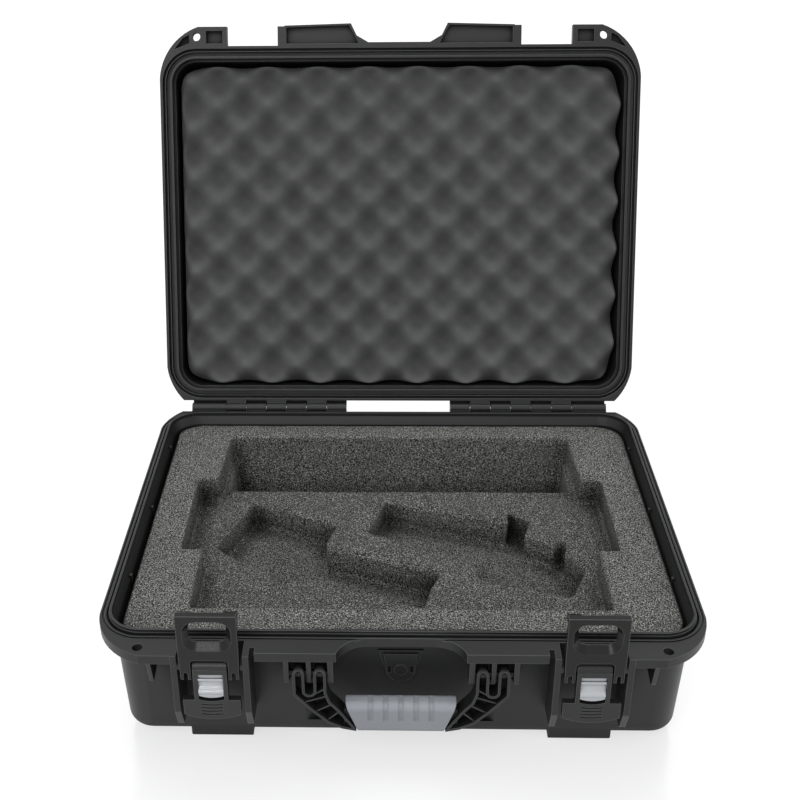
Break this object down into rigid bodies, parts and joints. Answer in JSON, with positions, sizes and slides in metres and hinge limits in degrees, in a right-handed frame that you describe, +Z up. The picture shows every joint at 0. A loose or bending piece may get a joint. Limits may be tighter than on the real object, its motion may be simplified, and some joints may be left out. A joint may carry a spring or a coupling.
{
  "type": "microphone case",
  "caption": "Hinged hard case with a cut foam microphone tray, a convoluted foam lid, front latches and a folding handle.",
  "frame": {"origin": "middle of the base's flat underside, between its feet", "axes": "+Z up, +X to the right seen from the front, the latches and the handle face -Y, the hinge is at +Y"},
  "size_m": [0.5, 0.5729, 0.4997],
  "materials": {
    "shell": "fine moulded texture",
    "latch": "smooth satin",
    "lock": "glossy silver grey",
    "grip": "soft matte",
    "seal": "matte",
    "pin": "drawn",
    "foam": "fine cells, light flecks",
    "foam_soft": "open cells, convoluted",
    "valve": "smooth",
    "membrane": "thin sheet"
  },
  "bodies": {
    "base": {"base_shell": "shell", "foam_bottom_pad": "foam", "foam_under_block": "foam", "foam_mic_tray": "foam", "foam_top_frame": "foam", "hinge_pin_left": "pin", "hinge_pin_right": "pin", "handle_pin_left": "pin", "handle_pin_right": "pin", "latch_pin_left": "pin", "latch_pin_right": "pin", "valve_cap": "shell", "valve_body": "valve", "valve_membrane": "membrane", "valve_seal": "seal"},
    "lid": {"lid_shell": "shell", "lid_gasket": "seal", "foam_lid": "foam_soft"},
    "handle": {"handle_frame": "shell", "handle_grip": "grip"},
    "claw_left": {"latch_claw_left": "latch"},
    "lever_left": {"latch_lever_left": "latch"},
    "slide_left": {"latch_slide_left": "lock"},
    "claw_right": {"latch_claw_right": "latch"},
    "lever_right": {"latch_lever_right": "latch"},
    "slide_right": {"latch_slide_right": "lock"}
  },
  "joints": [
    {"name": "lid_hinge", "type": "hinge", "parent": "base", "child": "lid", "pos_m": [0, 0.2045, 0.114], "axis": [1, 0, 0], "range_deg": [0, 109.4]},
    {"name": "handle_swing", "type": "hinge", "parent": "base", "child": "handle", "pos_m": [0, -0.1865, 0.09], "axis": [-1, 0, 0], "range_deg": [0, 90]},
    {"name": "claw_left_swing", "type": "hinge", "parent": "base", "child": "claw_left", "pos_m": [-0.1524, -0.1925, 0.102], "axis": [-1, 0, 0], "range_deg": [-10, 13]},
    {"name": "lever_left_lift", "type": "hinge", "parent": "base", "child": "lever_left", "pos_m": [-0.1524, -0.1925, 0.102], "axis": [-1, 0, 0], "range_deg": [0, 90]},
    {"name": "slide_left_lock", "type": "slide", "parent": "lever_left", "child": "slide_left", "axis": [0, 0, -1], "range_m": [0, 0.0028]},
    {"name": "claw_right_swing", "type": "hinge", "parent": "base", "child": "claw_right", "pos_m": [0.1524, -0.1925, 0.102], "axis": [-1, 0, 0], "range_deg": [-10, 13]},
    {"name": "lever_right_lift", "type": "hinge", "parent": "base", "child": "lever_right", "pos_m": [0.1524, -0.1925, 0.102], "axis": [-1, 0, 0], "range_deg": [0, 90]},
    {"name": "slide_right_lock", "type": "slide", "parent": "lever_right", "child": "slide_right", "axis": [0, 0, -1], "range_m": [0, 0.0028]}
  ]
}
